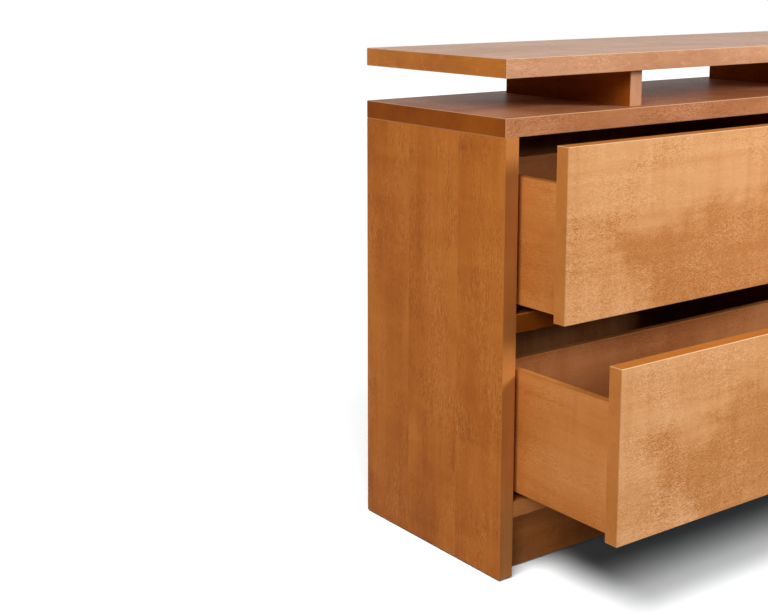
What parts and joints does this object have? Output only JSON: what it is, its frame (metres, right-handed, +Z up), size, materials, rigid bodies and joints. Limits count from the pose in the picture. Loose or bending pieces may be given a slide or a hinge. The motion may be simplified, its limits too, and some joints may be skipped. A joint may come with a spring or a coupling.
{
  "type": "sideboard",
  "caption": "Low wooden sideboard with inset slab-front drawers on undermount runners and a raised top board on front-to-back spacers.",
  "frame": {"origin": "on the floor under the middle of the carcase, at the underside of the middle floor glide", "axes": "+X along the length, to the right of a person who faces the drawers; +Y from the drawer fronts to the back; +Z up"},
  "size_m": [1.83, 0.6235, 0.8905],
  "materials": {
    "stained_case_wood": "honey-brown stain under satin lacquer",
    "stained_front_wood": "light honey stain under satin lacquer",
    "stained_box_wood": "honey-brown stain under satin lacquer",
    "stained_plywood": "brown stain, matt",
    "tenon_beech": "bare beech",
    "zinc_steel": "zinc plated",
    "clip_plastic": "moulded grey plastic",
    "glide_plastic": "moulded black plastic"
  },
  "bodies": {
    "carcase": {"left_side_panel": "stained_case_wood", "right_side_panel": "stained_case_wood", "centre_divider": "stained_case_wood", "carcase_top": "stained_case_wood", "carcase_bottom": "stained_case_wood", "middle_rail_left": "stained_case_wood", "middle_rail_right": "stained_case_wood", "back_panel_left": "stained_plywood", "back_panel_right": "stained_plywood", "plinth_front": "stained_case_wood", "plinth_rear": "stained_case_wood", "plinth_cross_rail": "stained_case_wood", "raised_top": "stained_case_wood", "spacer_left": "stained_case_wood", "spacer_centre": "stained_case_wood", "spacer_right": "stained_case_wood", "spacer_tenons": "tenon_beech", "carcase_tenons": "tenon_beech", "floor_glides": "glide_plastic", "runner_rails_upper_left": "zinc_steel", "runner_rails_lower_left": "zinc_steel", "runner_rails_upper_right": "zinc_steel", "runner_rails_lower_right": "zinc_steel"},
    "slides_upper_left": {"runner_slides_upper_left": "zinc_steel"},
    "drawer_upper_left": {"drawer_front_upper_left": "stained_front_wood", "box_front_upper_left": "stained_box_wood", "box_left_side_upper_left": "stained_box_wood", "box_right_side_upper_left": "stained_box_wood", "box_back_upper_left": "stained_box_wood", "box_bottom_upper_left": "stained_plywood", "runner_carriages_upper_left": "zinc_steel", "locking_clips_upper_left": "clip_plastic"},
    "slides_lower_left": {"runner_slides_lower_left": "zinc_steel"},
    "drawer_lower_left": {"drawer_front_lower_left": "stained_front_wood", "box_front_lower_left": "stained_box_wood", "box_left_side_lower_left": "stained_box_wood", "box_right_side_lower_left": "stained_box_wood", "box_back_lower_left": "stained_box_wood", "box_bottom_lower_left": "stained_plywood", "runner_carriages_lower_left": "zinc_steel", "locking_clips_lower_left": "clip_plastic"},
    "slides_upper_right": {"runner_slides_upper_right": "zinc_steel"},
    "drawer_upper_right": {"drawer_front_upper_right": "stained_front_wood", "box_front_upper_right": "stained_box_wood", "box_left_side_upper_right": "stained_box_wood", "box_right_side_upper_right": "stained_box_wood", "box_back_upper_right": "stained_box_wood", "box_bottom_upper_right": "stained_plywood", "runner_carriages_upper_right": "zinc_steel", "locking_clips_upper_right": "clip_plastic"},
    "slides_lower_right": {"runner_slides_lower_right": "zinc_steel"},
    "drawer_lower_right": {"drawer_front_lower_right": "stained_front_wood", "box_front_lower_right": "stained_box_wood", "box_left_side_lower_right": "stained_box_wood", "box_right_side_lower_right": "stained_box_wood", "box_back_lower_right": "stained_box_wood", "box_bottom_lower_right": "stained_plywood", "runner_carriages_lower_right": "zinc_steel", "locking_clips_lower_right": "clip_plastic"}
  },
  "joints": [
    {"name": "drawer_upper_left", "type": "slide", "parent": "carcase", "child": "drawer_upper_left", "axis": [0, -1, 0], "range_m": [-0.1115, 0.1685]},
    {"name": "slides_upper_left", "type": "slide", "parent": "carcase", "child": "slides_upper_left", "axis": [0, -1, 0], "range_m": [-0.05575, 0.08425]},
    {"name": "drawer_lower_left", "type": "slide", "parent": "carcase", "child": "drawer_lower_left", "axis": [0, -1, 0], "range_m": [-0.2385, 0.0415]},
    {"name": "slides_lower_left", "type": "slide", "parent": "carcase", "child": "slides_lower_left", "axis": [0, -1, 0], "range_m": [-0.11925, 0.02075]},
    {"name": "drawer_upper_right", "type": "slide", "parent": "carcase", "child": "drawer_upper_right", "axis": [0, -1, 0], "range_m": [0, 0.28]},
    {"name": "slides_upper_right", "type": "slide", "parent": "carcase", "child": "slides_upper_right", "axis": [0, -1, 0], "range_m": [0, 0.14]},
    {"name": "drawer_lower_right", "type": "slide", "parent": "carcase", "child": "drawer_lower_right", "axis": [0, -1, 0], "range_m": [0, 0.28]},
    {"name": "slides_lower_right", "type": "slide", "parent": "carcase", "child": "slides_lower_right", "axis": [0, -1, 0], "range_m": [0, 0.14]}
  ],
  "couplings": [
    {"joint": "slides_upper_left", "follows": "drawer_upper_left", "ratio": 0.5},
    {"joint": "slides_lower_left", "follows": "drawer_lower_left", "ratio": 0.5},
    {"joint": "slides_upper_right", "follows": "drawer_upper_right", "ratio": 0.5},
    {"joint": "slides_lower_right", "follows": "drawer_lower_right", "ratio": 0.5}
  ]
}
